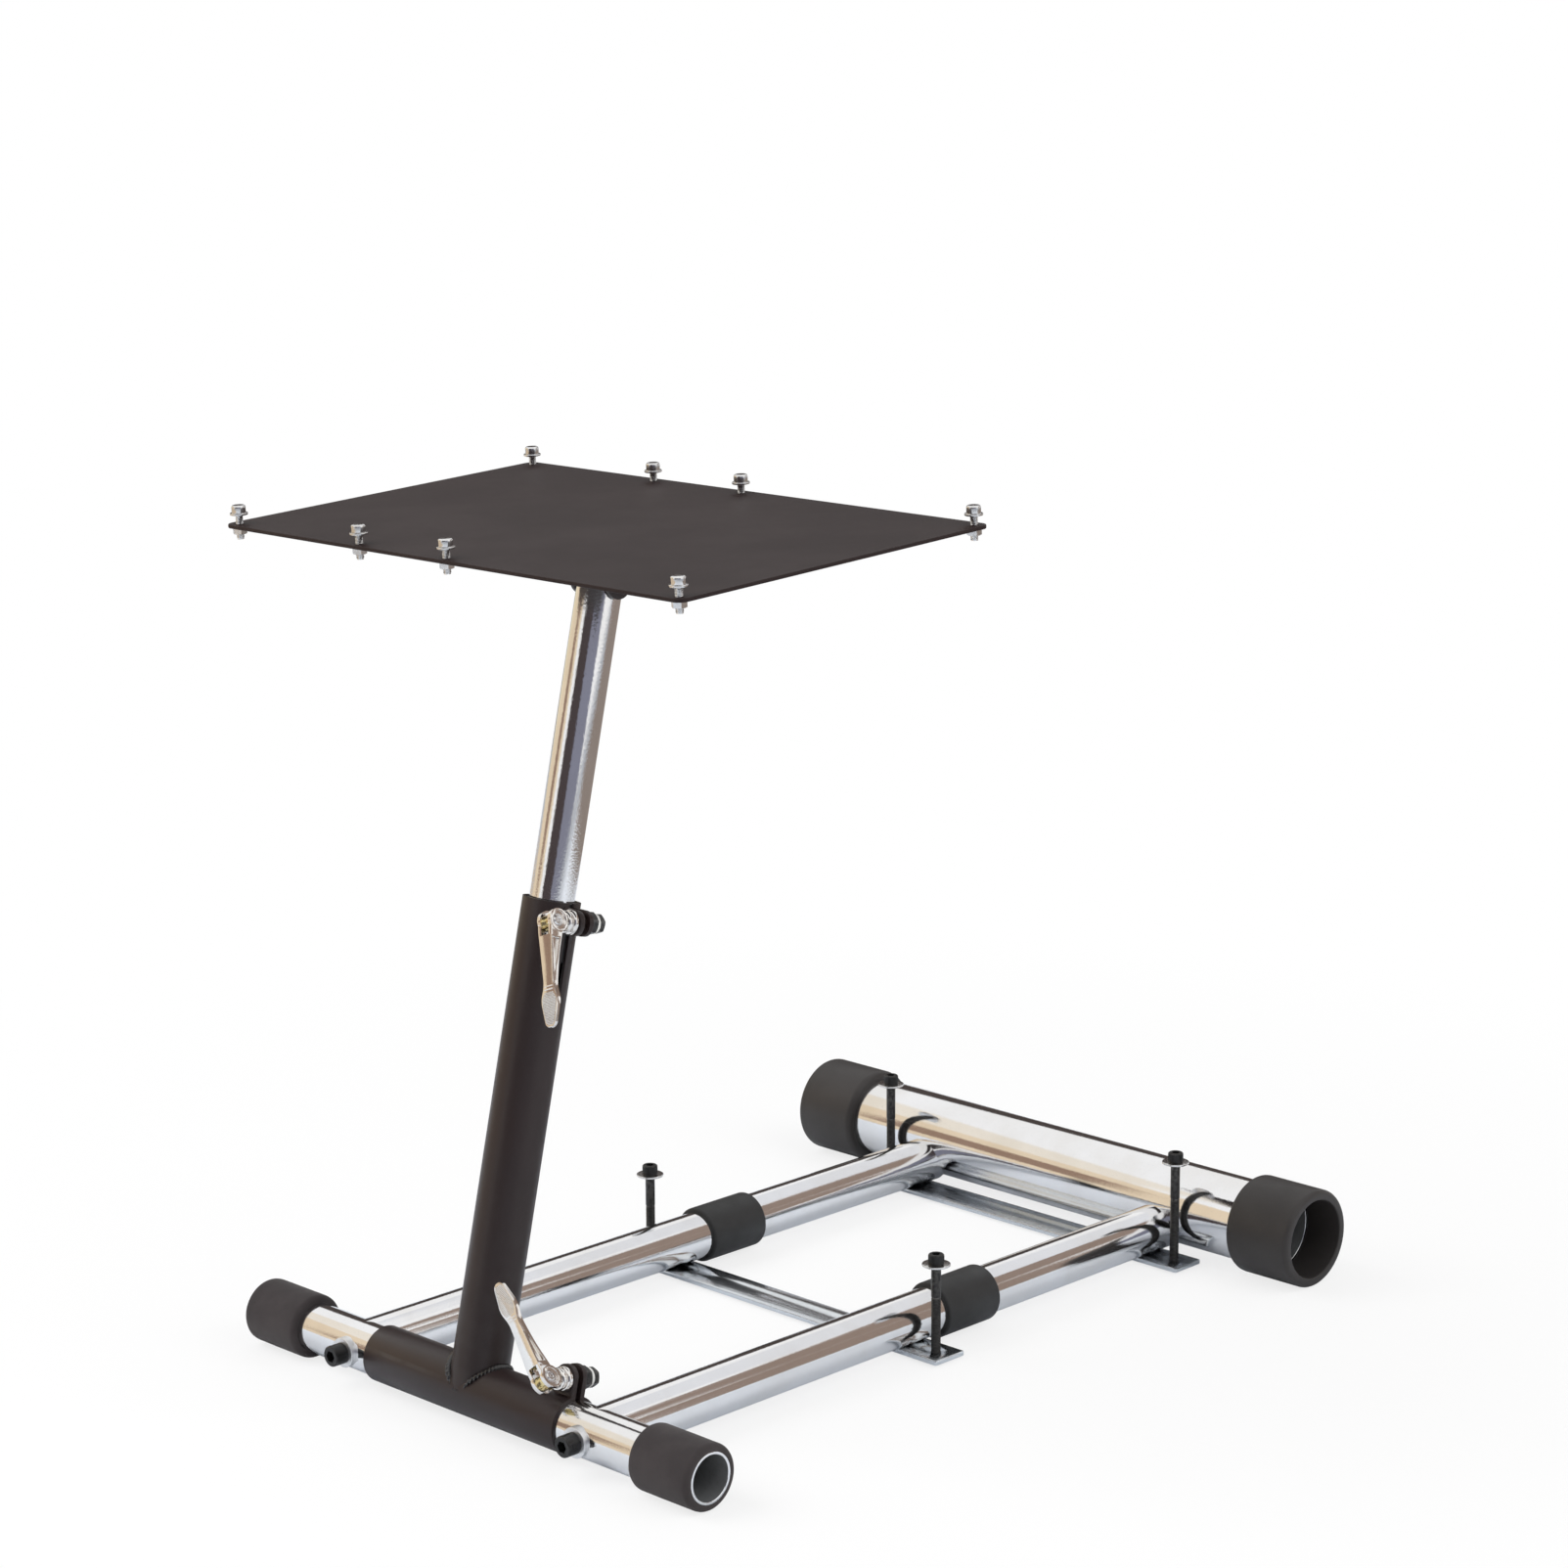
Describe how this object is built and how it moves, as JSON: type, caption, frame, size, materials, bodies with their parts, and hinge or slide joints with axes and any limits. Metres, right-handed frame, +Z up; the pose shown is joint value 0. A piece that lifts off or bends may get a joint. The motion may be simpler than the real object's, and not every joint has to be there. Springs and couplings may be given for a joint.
{
  "type": "flight stick stand",
  "caption": "Free-standing tubular stand for flight controls: chrome rail base on foam and rubber feet, tilting split-clamp column, sliding post and flat tray.",
  "frame": {"origin": "on the floor, at the centre of the footprint", "axes": "+X to the user's right along the cross tubes, +Y from the user's side toward the pedal end along the rails, +Z up"},
  "size_m": [0.564, 0.762, 0.7086],
  "materials": {
    "black_paint": "satin powder coat",
    "black_screw": "black oxide",
    "bright_bolt": "bright nickel plate",
    "chrome": "bright polished chrome plate",
    "clamp_bolt": "steel bolt with a brass barrel and a black nut",
    "foam": "matte closed-cell foam",
    "foot_rubber": "smooth moulded rubber",
    "nickel": "polished nickel plate",
    "plastic": "moulded plastic",
    "sleeve_rubber": "smooth rubber",
    "zinc": "bright zinc plate"
  },
  "bodies": {
    "base": {"front_bar": "zinc", "front_cross_tube": "chrome", "front_left_bar_bolt": "black_screw", "front_left_foam": "foam", "front_right_bar_bolt": "black_screw", "front_right_foam": "foam", "left_rail": "chrome", "left_rail_screw": "black_screw", "left_rail_sleeve": "sleeve_rubber", "rear_bar": "zinc", "rear_cross_tube": "chrome", "rear_left_bar_bolt": "black_screw", "rear_left_foot": "foot_rubber", "rear_right_bar_bolt": "black_screw", "rear_right_foot": "foot_rubber", "right_rail": "chrome", "right_rail_screw": "black_screw", "right_rail_sleeve": "sleeve_rubber"},
    "column": {"pivot_sleeve": "black_paint", "column_tube": "black_paint", "column_bushing": "plastic", "column_clamp_bolt": "clamp_bolt", "column_clamp_dome": "nickel", "sleeve_clamp_bolt": "clamp_bolt", "sleeve_clamp_dome": "nickel"},
    "post": {"sliding_post": "chrome", "tray_bracket": "black_paint", "tray_bracket_bolt": "black_screw", "tray_plate": "black_paint", "stick_inner_front_bolt": "bright_bolt", "stick_inner_rear_bolt": "bright_bolt", "stick_outer_front_bolt": "bright_bolt", "stick_outer_rear_bolt": "bright_bolt", "throttle_inner_front_bolt": "bright_bolt", "throttle_inner_rear_bolt": "bright_bolt", "throttle_outer_front_bolt": "bright_bolt", "throttle_outer_rear_bolt": "bright_bolt"},
    "column_lever": {"column_clamp_lever": "nickel"},
    "sleeve_lever": {"sleeve_clamp_lever": "nickel"}
  },
  "joints": [
    {"name": "column_tilt", "type": "hinge", "parent": "base", "child": "column", "pos_m": [0, -0.346, 0.026], "axis": [-1, 0, 0], "range_deg": [-20, 45]},
    {"name": "post_slide", "type": "slide", "parent": "column", "child": "post", "axis": [0, 0.225, 0.9744], "range_m": [-0.2, 0.08]},
    {"name": "column_lever_swing", "type": "hinge", "parent": "column", "child": "column_lever", "pos_m": [0.0315, -0.28944, 0.39011], "axis": [-0.9304, -0.0824, -0.3571], "range_deg": [0, 100]},
    {"name": "sleeve_lever_swing", "type": "hinge", "parent": "column", "child": "sleeve_lever", "pos_m": [0.099, -0.36458, 0.06467], "axis": [0.7513, 0.1485, 0.6431], "range_deg": [0, 100]}
  ]
}
